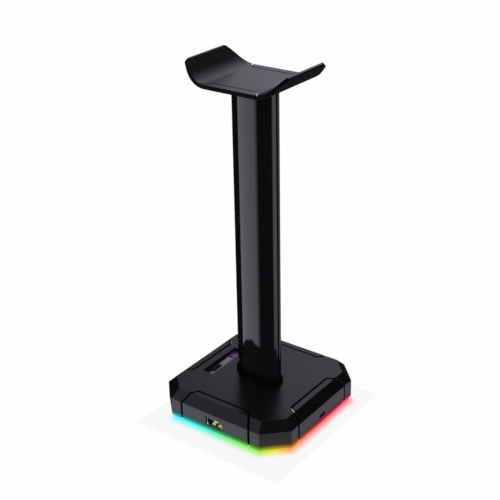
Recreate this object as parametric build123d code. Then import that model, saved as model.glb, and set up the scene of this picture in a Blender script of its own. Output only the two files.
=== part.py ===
"""Headphone stand: lit octagonal base with a small USB hub, oval column and bent saddle.

The frame has +Z up and its origin on the floor under the middle of the base. +X runs along
the saddle, from wing to wing, and -Y is the front. All sizes are in millimetres.
"""
from build123d import *
from math import atan2, cos, degrees, radians, sin, sqrt, tan
import os

os.makedirs("parts", exist_ok=True)

# ------------------------------------------------------------------ driving dimensions

# Base shell
BASE_SIDE = 117.0            # across the flat sides
CORNER_CUT = 16.9            # leg of each 45 degree corner cut
WALL_HEIGHT = 14.3           # upright part of the outside wall
BEVEL = 6.7                  # 45 degree bevel between wall and top
SHELL_WALL = 3.0
FOOT_PROUD = 1.2             # how far the rubber feet lift the cover off the floor
GLOW_HEIGHT = 2.3            # lit strip between the cover's underside and the wall

# Side panels, let into the shell on all four sides
PANEL_THICKNESS = 1.6
PANEL_END = 26.6             # from the side of the base to the panel's end at the wall
PANEL_DRAW = 7.8             # how much its inner edge is drawn in at each end
PANEL_REACH = 12.1           # from the wall to the inner edge, on the top face
PANEL_GROOVE = 1.5
PANEL_EDGE = 0.35            # chamfer along the groove
TAB_WIDTH = 4.0              # tabs that hold the panel in the shell
TAB_THICKNESS = 1.6
TAB_INSET = 7.6              # middle of a tab from the panel's end
TAB_TAIL = 0.6               # tab beyond the shell's inner face

# Light guide and bottom cover
GLOW_RECESS = 1.0            # lit strip's step back from the wall
GUIDE_WIDTH = 3.6
GUIDE_LEDGE = 2.8            # inner ledge that lies in the cover's rebate
LEDGE_THICKNESS = 1.1
COVER_THICKNESS = 2.2
COVER_GAP = 0.2              # all round, between cover and light guide

# Feet and cover screws, one above the other at each corner
POST_INSET = 12.6            # from the flat of the cut corner
FOOT_RADIUS = 6.5
POST_SIDE = 7.6
POST_RIB = 1.6
COVER_PAD_SIDE = 9.4
COVER_PAD_HEIGHT = 1.2

# Circuit board and what stands on it
PORT_HEIGHT = 10.8           # middle of the USB ports above the floor
BOARD_THICKNESS = 1.6
BOARD_INSET = 5.2            # from the outside of the base
STANDOFF_INSET = 28.0        # from the sides of the base
STANDOFF_SIDE = 6.0
BALLAST_THICKNESS = 2.0
BALLAST_INSET = 11.5
BALLAST_GAP = 1.0            # to the standoffs
LED_SIDE = 5.0
LED_HEIGHT = 1.6
LED_INSET = 7.8              # middle of a side light from the outside of the base
LED_END = 28.0               # last light from the side of the base
LEDS_PER_SIDE = 4
CHIP_SIDE = 7.0
CHIP_HEIGHT = 1.0
CAPACITOR_RADIUS = 2.5
CAPACITOR_HEIGHT = 6.0

# USB-A port
USB_WIDTH = 13.9
USB_HEIGHT = 5.9
USB_DEPTH = 14.0
USB_SHEET = 0.35
USB_LIP_WIDTH = 14.8
USB_LIP_HEIGHT = 6.6
USB_SETBACK = 0.6            # lip behind the outside of the wall
USB_TONGUE_WIDTH = 11.1
USB_TONGUE_THICKNESS = 1.8
USB_TONGUE_LENGTH = 8.4
USB_BLOCK_DEPTH = 3.8        # block behind the tongue
USB_TONGUE_RAISE = 0.9       # tongue above the middle of the port
USB_HOLE_MARGIN = 0.85       # panel hole beyond the lip sideways
USB_HOLE_RISE = 0.4          # panel hole beyond the lip up and down
CONTACT_COUNT = 4
CONTACT_WIDTH = 1.0
CONTACT_PITCH = 2.3
CONTACT_THICKNESS = 0.2

# Power inlet
INLET_WIDTH = 7.0
INLET_HEIGHT = 2.5
INLET_DEPTH = 5.6
INLET_SHEET = 0.3
INLET_TAPER = 0.9            # lower corners drawn in
INLET_MARGIN = 0.5
INLET_SETBACK = 0.7
INLET_TONGUE_WIDTH = 4.0
INLET_TONGUE_THICKNESS = 0.7

# Light mode button
BUTTON_RADIUS = 2.6
BUTTON_HEIGHT = 10.4         # above the floor
BUTTON_CLEARANCE = 0.25
BUTTON_TRAVEL = 0.4
BUTTON_SETBACK = 0.2         # face behind the wall's outside
BUTTON_FLANGE = 1.0          # flange beyond the cap, behind the wall
BUTTON_FLANGE_THICKNESS = 0.8
BUTTON_STEM_RADIUS = 1.2
BUTTON_STEM = 1.0
STOP_GAP = 0.3
SWITCH_SIDE = 6.0
SWITCH_DEPTH = 3.6
SWITCH_PLUNGER_RADIUS = 0.9
SWITCH_PLUNGER = 0.8

# Lit window in the top
WINDOW_WIDTH = 8.4
WINDOW_LENGTH = 41.4
WINDOW_INSET = 23.3          # its middle from the base's -X side
WINDOW_EDGE = 0.7            # chamfer round the window
WINDOW_DEPTH = 1.8           # recess down to the lens
LENS_FLANGE = 2.0
LENS_FLANGE_THICKNESS = 1.2
LENS_FIT = 0.1
BAR_COUNT = 5
BAR_LENGTH = 5.0
BAR_WIDTH = 3.2
BAR_GAP = 1.3
BAR_SLANT = 1.6
BAR_HEIGHT = 0.4

# Column
COLUMN_HALF_LONG = 19.9
COLUMN_HALF_SHORT = 7.4
COLUMN_WALL = 1.6
COLUMN_GROOVE_ANGLE = 13.2   # on the oval, from each end
COLUMN_GROOVE_WIDTH = 1.1
COLUMN_GROOVE_DEPTH = 0.6
SCREW_PORT_SPREAD = 12.0
SCREW_PORT_RADIUS = 3.2
WEB_THICKNESS = 1.8
PLUG_LENGTH = 6.0            # locating plug inside the column's middle cell
PLUG_FIT = 0.25
COLLAR_WIDTH = 1.4           # collar beyond the column all round
COLLAR_HEIGHT = 3.5
COLLAR_FIT = 0.1
COLLAR_EDGE = 0.6
FOOT_PLATE_THICKNESS = 2.0
FOOT_PLATE_MARGIN = 3.0      # beyond the column all round

# Saddle
SADDLE_HEIGHT = 262.4        # flat top above the floor
SADDLE_HALF_FLAT = 20.8      # where the wings begin to bend
SADDLE_HALF_LENGTH = 42.1    # to the tip of the wings' upper face
SADDLE_HALF_WIDTH = 29.9     # beside the column
SIDE_RADIUS = 48.0           # curve that each side follows round to the tip, on the unbent wing
SIDE_START = 19.5            # where that curve begins
WING_BEND_RADIUS = 19.3      # of the upper face
WING_ANGLE = 45.2
WING_CORNER = 3.8
PAD_THICKNESS = 1.2
PLATE_THICKNESS = 2.0
STRIP_WIDTH = 6.3
STRIP_HALF_IN = 18.6
STRIP_HALF_OUT = 23.8
STRIP_GROOVE = 0.9

# Screws: thread radius, head radius, head height
SMALL_SCREW = (1.45, 2.8, 1.5)
LARGE_SCREW = (1.95, 3.6, 2.2)
THREAD_GAP = 0.05            # between thread and the hole that it cuts
CLEAR_GAP = 0.3              # between thread and a plain hole
SCREW_BITE = 7.0             # thread length inside what it holds
CUT_PAST = 1.0               # how far a cut runs past what it opens

# ------------------------------------------------------------------ sizes that follow

WALL_BOTTOM = FOOT_PROUD + GLOW_HEIGHT
BASE_TOP = WALL_BOTTOM + WALL_HEIGHT + BEVEL
BASE_HALF = BASE_SIDE / 2
PANEL_HALF_OUT = BASE_HALF - PANEL_END
PANEL_HALF_IN = PANEL_HALF_OUT - PANEL_DRAW
TAB_SPREAD = PANEL_HALF_OUT - TAB_INSET
CORNER_POST = BASE_HALF - CORNER_CUT / 2 - POST_INSET / sqrt(2)
STANDOFF_SPREAD = BASE_HALF - STANDOFF_INSET
LED_PITCH = 2 * (BASE_HALF - LED_END) / (LEDS_PER_SIDE - 1)
WINDOW_OFFSET = BASE_HALF - WINDOW_INSET
CEILING = BASE_TOP - SHELL_WALL
COVER_TOP = FOOT_PROUD + COVER_THICKNESS
POST_BOTTOM = COVER_TOP + COVER_PAD_HEIGHT
BOARD_TOP = PORT_HEIGHT - USB_HEIGHT / 2
BOARD_BOTTOM = BOARD_TOP - BOARD_THICKNESS
PLATE_BOTTOM = SADDLE_HEIGHT - PAD_THICKNESS - PLATE_THICKNESS
WING_BEND_END = SADDLE_HALF_FLAT + WING_BEND_RADIUS * sin(radians(WING_ANGLE))
WING_STRAIGHT = (SADDLE_HALF_LENGTH - WING_BEND_END) / cos(radians(WING_ANGLE))
WING_LENGTH = WING_BEND_RADIUS * radians(WING_ANGLE) + WING_STRAIGHT   # unbent
MITRE = 2 - sqrt(2)          # a 45 degree cut loses this much per millimetre of inset
CORNERS = [(x, y) for x in (-1, 1) for y in (-1, 1)]
DIAGONAL = (-1, 1)           # two opposite corners of the four
SIDE_STEPS = 6               # points along each side's curve, less one
SIDES = ("front", "right", "back", "left")


# ------------------------------------------------------------------ shared shapes

def octagon(inset, corner_cut=CORNER_CUT):
    """The base's outline, drawn in by inset all round."""
    half = BASE_HALF - inset
    flat = half - (corner_cut - inset * MITRE)
    points = [(half, -flat), (half, flat), (flat, half), (-flat, half)]
    points += [(-x, -y) for x, y in points]
    return make_face(Polyline(*points, close=True))


def octagon_slab(inset, bottom, top, corner_cut=CORNER_CUT):
    """A slab of the base's outline between two heights."""
    return extrude(Pos(0, 0, bottom) * octagon(inset, corner_cut), top - bottom)


def bevelled_block(inset):
    """The base's solid outside form, drawn in by inset on every face but the bottom."""
    block = octagon_slab(inset, WALL_BOTTOM, BASE_TOP - inset)
    top_edges = block.faces().sort_by(Axis.Z)[-1].edges()
    return chamfer(top_edges, BEVEL - inset * MITRE)


def box_between(low, high):
    """A box from its lowest to its highest corner."""
    size = [b - a for a, b in zip(low, high)]
    middle = [(a + b) / 2 for a, b in zip(low, high)]
    return Pos(*middle) * Box(*size)


def upright(radius, bottom, top, x=0.0, y=0.0):
    """A cylinder standing on a height."""
    return Pos(x, y, (bottom + top) / 2) * Cylinder(radius, top - bottom)


def square_post(side, bottom, top, x, y):
    """A square post standing on a height."""
    return Pos(x, y, (bottom + top) / 2) * Box(side, side, top - bottom)


def along_y(radius, near, far, x, z):
    """A cylinder lying along Y, from near to far."""
    return Pos(x, (near + far) / 2, z) * Rot(90, 0, 0) * Cylinder(radius, abs(far - near))


def trapezoid(half_in, half_out, inner, outer, grow):
    """Trapezoid on the -Y side, from y = -inner out past y = -outer, grown sideways and inwards."""
    lean = (half_out - half_in) / (outer - inner)
    slant = grow * sqrt(1 + lean * lean)
    past = outer + CUT_PAST
    near = (half_in - lean * grow + slant, -inner + grow)
    far = (half_in + lean * (past - inner) + slant, -past)
    return make_face(Polyline((-near[0], near[1]), near, far, (-far[0], far[1]), close=True))


def pan_screw(size, length):
    """Pan head screw: its thread points up from z = 0 and the head is below."""
    radius, head_radius, head_height = size
    return upright(head_radius, -head_height, 0) + upright(radius, 0, length)


def flat_screw(size, length):
    """Countersunk screw: its head's face is at z = 0 and the thread points down."""
    radius, head_radius, _ = size
    drop = head_radius - radius
    return Pos(0, 0, -drop / 2) * Cone(radius, head_radius, drop) + upright(radius, -length, -drop / 2)


def countersink(size, gap):
    """The space that flat_screw's head needs in a plate whose face is at z = 0."""
    radius, head_radius, _ = size
    drop = head_radius - radius
    return Pos(0, 0, -drop / 2) * Cone(radius + gap, head_radius + gap, drop)


# ------------------------------------------------------------------ side panels

def panel_outline(grow):
    return trapezoid(PANEL_HALF_IN, PANEL_HALF_OUT, BASE_HALF - PANEL_REACH, BASE_HALF, grow)


def panel_layer(grow):
    """The skin of the base under one front panel's outline."""
    skin = bevelled_block(0) - bevelled_block(PANEL_THICKNESS)
    return skin & extrude(panel_outline(grow), BASE_TOP + CUT_PAST)


def wall_hole(side):
    """What the wall and the panel leave open on one side, built on the front."""
    outside, inside = -BASE_HALF - BEVEL, -BASE_HALF + 2 * SHELL_WALL
    if side == "left":
        return along_y(BUTTON_RADIUS + BUTTON_CLEARANCE, outside, inside, 0, BUTTON_HEIGHT)
    if side == "right":
        half = INLET_WIDTH / 2 + INLET_MARGIN
        rise = INLET_HEIGHT / 2 + INLET_MARGIN / 2
        middle = BOARD_TOP + INLET_HEIGHT / 2
    else:
        half = USB_LIP_WIDTH / 2 + USB_HOLE_MARGIN
        rise = USB_LIP_HEIGHT / 2 + USB_HOLE_RISE
        middle = PORT_HEIGHT
    return box_between((-half, outside, middle - rise), (half, inside, middle + rise))


def tabs(gap, back):
    """A panel's pair of tabs, from inside the panel to a depth behind the wall's outside."""
    half, rise = TAB_WIDTH / 2 + gap, TAB_THICKNESS / 2 + gap
    height = WALL_BOTTOM + WALL_HEIGHT / 2
    front = -BASE_HALF + PANEL_THICKNESS / 2
    return [box_between((x - half, front, height - rise), (x + half, -BASE_HALF + back, height + rise))
            for x in (-TAB_SPREAD, TAB_SPREAD)]


def panel(side):
    """One side panel: wall, bevel and a strip of the top in one bent plate, built on the front."""
    plate = panel_layer(-PANEL_GROOVE / 2)
    below_skin = bevelled_block(PANEL_EDGE)
    within = extrude(panel_outline(-PANEL_GROOVE / 2 - PANEL_EDGE), BASE_TOP + CUT_PAST)
    rim = [edge for edge in plate.edges()
           if edge.center().Z > WALL_BOTTOM + PANEL_EDGE
           and not below_skin.is_inside(edge.center())
           and not within.is_inside(edge.center())]
    plate = chamfer(rim, PANEL_EDGE)
    for tab in tabs(0, SHELL_WALL + TAB_TAIL):
        plate += tab
    return plate - wall_hole(side)


def turned(side, shape):
    """A shape built on the front, turned round to its side."""
    return Rot(0, 0, 360 / len(SIDES) * SIDES.index(side)) * shape


# ------------------------------------------------------------------ base shell

def corner_post(x, y):
    """Screw post in one corner with a rib to the corner wall."""
    inside_top = CEILING + SHELL_WALL / 2
    post = square_post(POST_SIDE, POST_BOTTOM, inside_top, x * CORNER_POST, y * CORNER_POST)
    corner = (2 * BASE_HALF - CORNER_CUT) / sqrt(2) - SHELL_WALL / 2
    start = CORNER_POST * sqrt(2)
    low, high = BOARD_TOP + STOP_GAP, WALL_BOTTOM + WALL_HEIGHT
    rib = box_between((start, -POST_RIB / 2, low), (corner, POST_RIB / 2, high))
    return post + Rot(0, 0, degrees(atan2(y, x))) * rib


def post_bore(x, y):
    radius = SMALL_SCREW[0] + THREAD_GAP
    end = POST_BOTTOM + SCREW_BITE + CUT_PAST
    return upright(radius, POST_BOTTOM, end, x * CORNER_POST, y * CORNER_POST)


def window_slot(fit, bottom, top, flange=0.0):
    """A block of the window's outline between two heights."""
    half_x, half_y = WINDOW_WIDTH / 2 - fit + flange, WINDOW_LENGTH / 2 - fit + flange
    return box_between((-WINDOW_OFFSET - half_x, -half_y, bottom), (-WINDOW_OFFSET + half_x, half_y, top))


def window_rim(shell):
    """The window's four edges in the top face."""
    top = shell.faces().sort_by(Axis.Z)[-1]
    return [edge for edge in top.edges()
            if abs(edge.center().X + WINDOW_OFFSET) <= WINDOW_WIDTH / 2 + THREAD_GAP
            and abs(edge.center().Y) <= WINDOW_LENGTH / 2 + THREAD_GAP]


def column_plug(start, end):
    """Block that fits the column's middle cell."""
    half_x = SCREW_PORT_SPREAD - SCREW_PORT_RADIUS - PLUG_FIT
    middle = column_oval(-COLUMN_WALL - PLUG_FIT)
    low, high = sorted((start, end))
    cell = box_between((-half_x, -COLUMN_HALF_SHORT, low), (half_x, COLUMN_HALF_SHORT, high))
    return cell & extrude(Pos(0, 0, low) * middle, high - low)


def base_housing():
    shell = bevelled_block(0) - bevelled_block(SHELL_WALL)
    for side in SIDES:
        shell -= turned(side, panel_layer(PANEL_GROOVE / 2))
        shell -= turned(side, wall_hole(side))
        for hole in tabs(CLEAR_GAP / 2, 2 * SHELL_WALL):
            shell -= turned(side, hole)
    for x, y in CORNERS:
        shell += corner_post(x, y)
        shell -= post_bore(x, y)
    shell -= window_slot(0, CEILING - CUT_PAST, BASE_TOP)
    shell = chamfer(window_rim(shell), WINDOW_EDGE)
    shell += column_plug(BASE_TOP - SHELL_WALL / 2, BASE_TOP + PLUG_LENGTH)
    for x in (-SCREW_PORT_SPREAD, SCREW_PORT_SPREAD):
        shell -= upright(LARGE_SCREW[0] + CLEAR_GAP, CEILING - CUT_PAST, BASE_TOP + CUT_PAST, x)
    return shell


def window_lens():
    """Smoked lens let in from below, with its flange under the top wall."""
    flange = window_slot(LENS_FIT, CEILING - LENS_FLANGE_THICKNESS, CEILING, LENS_FLANGE)
    return flange + window_slot(LENS_FIT, CEILING, BASE_TOP - WINDOW_DEPTH)


def window_light_bars():
    """Row of slanted light bars on the lens."""
    pitch = BAR_LENGTH + BAR_GAP
    bars = []
    for index in range(BAR_COUNT):
        start = (index - BAR_COUNT / 2) * pitch + BAR_GAP / 2
        low, high = -WINDOW_OFFSET - BAR_WIDTH / 2, -WINDOW_OFFSET + BAR_WIDTH / 2
        bar = Polyline((low, start), (high, start + BAR_SLANT), (high, start + BAR_SLANT + BAR_LENGTH),
                       (low, start + BAR_LENGTH), close=True)
        shift = Pos(0, -BAR_SLANT / 2, BASE_TOP - WINDOW_DEPTH)
        bars.append(extrude(shift * make_face(bar), BAR_HEIGHT))
    return bars


# ------------------------------------------------------------------ underside

def light_guide_ring():
    """Frosted ring: the lit strip under the wall, and a ledge that rests in the cover."""
    strip = octagon_slab(GLOW_RECESS, FOOT_PROUD, WALL_BOTTOM)
    strip -= octagon_slab(GLOW_RECESS + GUIDE_WIDTH, FOOT_PROUD, WALL_BOTTOM)
    low = COVER_TOP - LEDGE_THICKNESS
    ledge = octagon_slab(GLOW_RECESS + GUIDE_WIDTH / 2, low, COVER_TOP)
    ledge -= octagon_slab(GLOW_RECESS + GUIDE_WIDTH + GUIDE_LEDGE, low, COVER_TOP)
    return strip + ledge


def bottom_cover():
    edge = GLOW_RECESS + GUIDE_WIDTH + COVER_GAP
    cover = octagon_slab(edge, FOOT_PROUD, COVER_TOP - LEDGE_THICKNESS)
    cover += octagon_slab(edge + GUIDE_LEDGE, FOOT_PROUD, COVER_TOP)
    thread, head_radius, head_height = SMALL_SCREW
    pad_height = COVER_PAD_HEIGHT + LEDGE_THICKNESS
    for x, y in CORNERS:
        post_x, post_y = x * CORNER_POST, y * CORNER_POST
        pad = Rot(0, 0, 45) * Box(COVER_PAD_SIDE, COVER_PAD_SIDE, pad_height)
        cover += Pos(post_x, post_y, POST_BOTTOM - pad_height / 2) * pad
        cover -= upright(head_radius + CLEAR_GAP, FOOT_PROUD, FOOT_PROUD + head_height, post_x, post_y)
        cover -= upright(thread + CLEAR_GAP, FOOT_PROUD, POST_BOTTOM, post_x, post_y)
        standoff_x, standoff_y = x * STANDOFF_SPREAD, y * STANDOFF_SPREAD
        cover += square_post(STANDOFF_SIDE, COVER_TOP, BOARD_BOTTOM, standoff_x, standoff_y)
    for way in DIAGONAL:
        spot = way * STANDOFF_SPREAD
        cover -= upright(thread + THREAD_GAP, COVER_TOP - THREAD_GAP, BOARD_BOTTOM, spot, spot)
    return cover


def rubber_foot(x, y):
    """Round foot stuck over a cover screw; its underside is what the stand rests on."""
    return upright(FOOT_RADIUS, 0, FOOT_PROUD, x * CORNER_POST, y * CORNER_POST)


def ballast_plate():
    """Steel plate bonded to the cover, with wide corner cuts that clear the standoffs."""
    clear = STANDOFF_SIDE / sqrt(2) + BALLAST_GAP - BALLAST_INSET
    corner_cut = 2 * (BASE_HALF - STANDOFF_SPREAD) + clear * sqrt(2)
    return octagon_slab(BALLAST_INSET, COVER_TOP, COVER_TOP + BALLAST_THICKNESS, corner_cut)


def cover_screws():
    """Four screws under the feet, up into the shell's posts."""
    seat = FOOT_PROUD + SMALL_SCREW[2]
    screw = pan_screw(SMALL_SCREW, POST_BOTTOM - seat + SCREW_BITE)
    return [Pos(x * CORNER_POST, y * CORNER_POST, seat) * screw for x, y in CORNERS]


# ------------------------------------------------------------------ electronics

def main_board():
    """Circuit board with square notches round the posts and two screw holes."""
    board = octagon_slab(BOARD_INSET, BOARD_BOTTOM, BOARD_TOP)
    half = POST_SIDE / 2 + STOP_GAP
    for x, y in CORNERS:
        middle = Pos(x * (CORNER_POST + half), y * (CORNER_POST + half), BOARD_TOP)
        board -= middle * Box(4 * half, 4 * half, 4 * BOARD_THICKNESS)
    for way in DIAGONAL:
        spot = way * STANDOFF_SPREAD
        board -= upright(SMALL_SCREW[0] + CLEAR_GAP, BOARD_BOTTOM, BOARD_TOP, spot, spot)
    return board


def board_screws():
    screw = Rot(180, 0, 0) * pan_screw(SMALL_SCREW, BOARD_THICKNESS + BOARD_BOTTOM - COVER_TOP)
    return [Pos(way * STANDOFF_SPREAD, way * STANDOFF_SPREAD, BOARD_TOP) * screw for way in DIAGONAL]


def light_modules():
    """Side lights under the board's edge, above the light guide, and three under the window."""
    along = [(index - (LEDS_PER_SIDE - 1) / 2) * LED_PITCH for index in range(LEDS_PER_SIDE)]
    size = (LED_SIDE, LED_SIDE, LED_HEIGHT)
    edge_light = Pos(0, -BASE_HALF + LED_INSET, BOARD_BOTTOM - LED_HEIGHT / 2) * Box(*size)
    lights = [turned(side, Pos(x, 0, 0) * edge_light) for side in SIDES for x in along]
    window = [Pos(-WINDOW_OFFSET, y, BOARD_TOP + LED_HEIGHT / 2) * Box(*size)
              for y in (-WINDOW_LENGTH / 4, 0, WINDOW_LENGTH / 4)]
    return lights + window


def hub_chip():
    return Pos(0, 0, BOARD_TOP + CHIP_HEIGHT / 2) * Box(CHIP_SIDE, CHIP_SIDE, CHIP_HEIGHT)


def board_capacitors():
    """One upright capacitor behind each USB port."""
    reach = BASE_HALF - USB_SETBACK - USB_DEPTH - 2 * CAPACITOR_RADIUS
    top = BOARD_TOP + CAPACITOR_HEIGHT
    return [upright(CAPACITOR_RADIUS, BOARD_TOP, top, 0, y) for y in (-reach, reach)]


def usb_shell():
    """Folded metal shell of a USB-A port, built on the front."""
    front = -BASE_HALF + USB_SETBACK
    back = front + USB_DEPTH
    half, rise = USB_WIDTH / 2, USB_HEIGHT / 2
    body = box_between((-half, front, PORT_HEIGHT - rise), (half, back, PORT_HEIGHT + rise))
    lip = box_between((-USB_LIP_WIDTH / 2, front, PORT_HEIGHT - USB_LIP_HEIGHT / 2),
                      (USB_LIP_WIDTH / 2, front + USB_SHEET, PORT_HEIGHT + USB_LIP_HEIGHT / 2))
    mouth = box_between((-half + USB_SHEET, front, PORT_HEIGHT - rise + USB_SHEET),
                        (half - USB_SHEET, back - USB_SHEET, PORT_HEIGHT + rise - USB_SHEET))
    return body + lip - mouth


def usb_tongue_root():
    """Where the tongue stands on its block, along Y."""
    return -BASE_HALF + USB_SETBACK + USB_DEPTH - USB_SHEET - USB_BLOCK_DEPTH


def usb_tongue():
    """Plastic tongue with its block at the back of the port."""
    root = usb_tongue_root()
    middle = PORT_HEIGHT + USB_TONGUE_RAISE
    half, rise = USB_WIDTH / 2 - USB_SHEET, USB_HEIGHT / 2 - USB_SHEET
    back = root + USB_BLOCK_DEPTH
    block = box_between((-half, root, PORT_HEIGHT - rise), (half, back, PORT_HEIGHT + rise))
    half, rise = USB_TONGUE_WIDTH / 2, USB_TONGUE_THICKNESS / 2
    tongue = box_between((-half, root - USB_TONGUE_LENGTH, middle - rise), (half, root, middle + rise))
    return block + tongue


def usb_contacts():
    """Four contact strips under the tongue."""
    back = usb_tongue_root()
    front = back - USB_TONGUE_LENGTH + CONTACT_WIDTH
    top = PORT_HEIGHT + USB_TONGUE_RAISE - USB_TONGUE_THICKNESS / 2
    half = CONTACT_WIDTH / 2
    middles = [(index - (CONTACT_COUNT - 1) / 2) * CONTACT_PITCH for index in range(CONTACT_COUNT)]
    return [box_between((x - half, front, top - CONTACT_THICKNESS), (x + half, back, top)) for x in middles]


def inlet_outline(inset):
    """The power inlet's cross-section, seen from the front, with its lower corners drawn in."""
    half = INLET_WIDTH / 2 - inset
    low, high = BOARD_TOP + inset, BOARD_TOP + INLET_HEIGHT - inset
    taper = INLET_TAPER - inset * MITRE
    right = [(half - taper, low), (half, low + taper), (half, high)]
    return make_face(Polyline(*right, *[(-x, z) for x, z in reversed(right)], close=True))


def inlet_prism(inset, front, back):
    """The inlet's cross-section drawn out along Y, between two distances."""
    return Pos(0, back, 0) * Rot(90, 0, 0) * extrude(inlet_outline(inset), back - front)


def inlet_shell():
    """Folded metal shell of the power inlet, built on the front."""
    front = -BASE_HALF + INLET_SETBACK
    back = front + INLET_DEPTH
    return inlet_prism(0, front, back) - inlet_prism(INLET_SHEET, front, back - INLET_SHEET)


def inlet_tongue():
    """Insulating block of the power inlet with its thin tongue."""
    front = -BASE_HALF + INLET_SETBACK
    back = front + INLET_DEPTH - INLET_SHEET
    block = inlet_prism(INLET_SHEET, back - INLET_DEPTH / 4, back)
    middle = BOARD_TOP + INLET_HEIGHT / 2
    half, rise = INLET_TONGUE_WIDTH / 2, INLET_TONGUE_THICKNESS / 2
    return block + box_between((-half, front + INLET_SHEET, middle - rise), (half, back, middle + rise))


def mode_button():
    """Sprung push button behind the wall, built on the front."""
    face = -BASE_HALF + BUTTON_SETBACK
    flange_front = -BASE_HALF + SHELL_WALL + STOP_GAP
    flange_back = flange_front + BUTTON_FLANGE_THICKNESS
    cap = along_y(BUTTON_RADIUS, face, flange_back, 0, BUTTON_HEIGHT)
    cap = chamfer(cap.edges().group_by(Axis.Y)[0], BUTTON_CLEARANCE)
    flange = along_y(BUTTON_RADIUS + BUTTON_FLANGE, flange_front, flange_back, 0, BUTTON_HEIGHT)
    stem = along_y(BUTTON_STEM_RADIUS, flange_back, flange_back + BUTTON_STEM, 0, BUTTON_HEIGHT)
    return cap + flange + stem


def mode_switch():
    """Side-acting switch on the board, its plunger just clear of the pressed button's stem."""
    stem_end = -BASE_HALF + SHELL_WALL + STOP_GAP + BUTTON_FLANGE_THICKNESS + BUTTON_STEM
    tip = stem_end + BUTTON_TRAVEL + STOP_GAP
    front = tip + SWITCH_PLUNGER
    half = SWITCH_SIDE / 2
    body = box_between((-half, front, BOARD_TOP), (half, front + SWITCH_DEPTH, BUTTON_HEIGHT + half))
    return body + along_y(SWITCH_PLUNGER_RADIUS, tip, front + SWITCH_DEPTH / 2, 0, BUTTON_HEIGHT)


# ------------------------------------------------------------------ column

def column_oval(grow):
    return Ellipse(COLUMN_HALF_LONG + grow, COLUMN_HALF_SHORT + grow)


def column_section():
    """Extruded section: oval tube, two webs with screw ports, and a fine groove near each end."""
    hollow = column_oval(-COLUMN_WALL)
    section = column_oval(0) - hollow
    for x in (-SCREW_PORT_SPREAD, SCREW_PORT_SPREAD):
        web = Pos(x, 0) * (Rectangle(WEB_THICKNESS, 2 * COLUMN_HALF_SHORT) + Circle(SCREW_PORT_RADIUS))
        section += web & column_oval(-COLUMN_WALL / 2)
        section -= Pos(x, 0) * Circle(LARGE_SCREW[0] + THREAD_GAP)
    angle = radians(COLUMN_GROOVE_ANGLE)
    spot = (COLUMN_HALF_LONG * cos(angle), COLUMN_HALF_SHORT * sin(angle))
    slope = degrees(atan2(sin(angle) / COLUMN_HALF_SHORT, cos(angle) / COLUMN_HALF_LONG))
    for x, y in CORNERS:
        lean = slope * x * y
        groove = Rectangle(2 * COLUMN_GROOVE_DEPTH, COLUMN_GROOVE_WIDTH)
        section -= Pos(x * spot[0], y * spot[1]) * Rot(0, 0, lean) * groove
    return section


def column_tube():
    return extrude(Pos(0, 0, BASE_TOP) * column_section(), PLATE_BOTTOM - BASE_TOP)


def foot_collar():
    """Oval collar round the column where it meets the base."""
    ring = column_oval(COLLAR_WIDTH) - column_oval(COLLAR_FIT)
    collar = extrude(Pos(0, 0, BASE_TOP) * ring, COLLAR_HEIGHT)
    outer = collar.edges().group_by(Axis.Z)[-1].sort_by(SortBy.LENGTH)[-1]
    return chamfer(outer, COLLAR_EDGE)


def column_foot_plate():
    """Steel washer plate inside the base, which spreads the load of the column's screws."""
    half_x = COLUMN_HALF_LONG + FOOT_PLATE_MARGIN
    half_y = COLUMN_HALF_SHORT + FOOT_PLATE_MARGIN
    low = CEILING - FOOT_PLATE_THICKNESS
    plate = box_between((-half_x, -half_y, low), (half_x, half_y, CEILING))
    for x in (-SCREW_PORT_SPREAD, SCREW_PORT_SPREAD):
        plate -= upright(LARGE_SCREW[0] + CLEAR_GAP, low, CEILING, x)
    return plate


def column_foot_screws():
    seat = CEILING - FOOT_PLATE_THICKNESS
    screw = pan_screw(LARGE_SCREW, BASE_TOP - seat + SCREW_BITE)
    return [Pos(x, 0, seat) * screw for x in (-SCREW_PORT_SPREAD, SCREW_PORT_SPREAD)]


# ------------------------------------------------------------------ saddle

def saddle_line(depth):
    """Half of the saddle's section at a depth below its upper face: flat, bend and wing."""
    angle = radians(WING_ANGLE)
    radius = WING_BEND_RADIUS + depth
    centre = SADDLE_HEIGHT + WING_BEND_RADIUS

    def on_bend(turn):
        return SADDLE_HALF_FLAT + radius * sin(turn), centre - radius * cos(turn)

    end = on_bend(angle)
    wing = WING_LENGTH - WING_BEND_RADIUS * angle
    tip = (end[0] + wing * cos(angle), end[1] + wing * sin(angle))
    return [(0, SADDLE_HEIGHT - depth), on_bend(0), on_bend(angle / 2), end, tip]


def side_run(along):
    """Distance from the start of the side's curve, by distance along the unbent wing."""
    return along + SADDLE_HALF_FLAT - SIDE_START


def side_half_width(along):
    """Half the saddle's width at a distance along the unbent wing."""
    return SADDLE_HALF_WIDTH - SIDE_RADIUS + sqrt(SIDE_RADIUS ** 2 - side_run(along) ** 2)


def side_point(along, depth):
    """A point of the side's face, by its distance along the unbent wing and its depth."""
    bend = min(max(along / WING_BEND_RADIUS, 0), radians(WING_ANGLE))
    straight = along - bend * WING_BEND_RADIUS
    radius = WING_BEND_RADIUS + depth
    x = SADDLE_HALF_FLAT + radius * sin(bend) + straight * cos(bend)
    z = SADDLE_HEIGHT + WING_BEND_RADIUS - radius * cos(bend) + straight * sin(bend)
    return x, side_half_width(along), z


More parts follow.
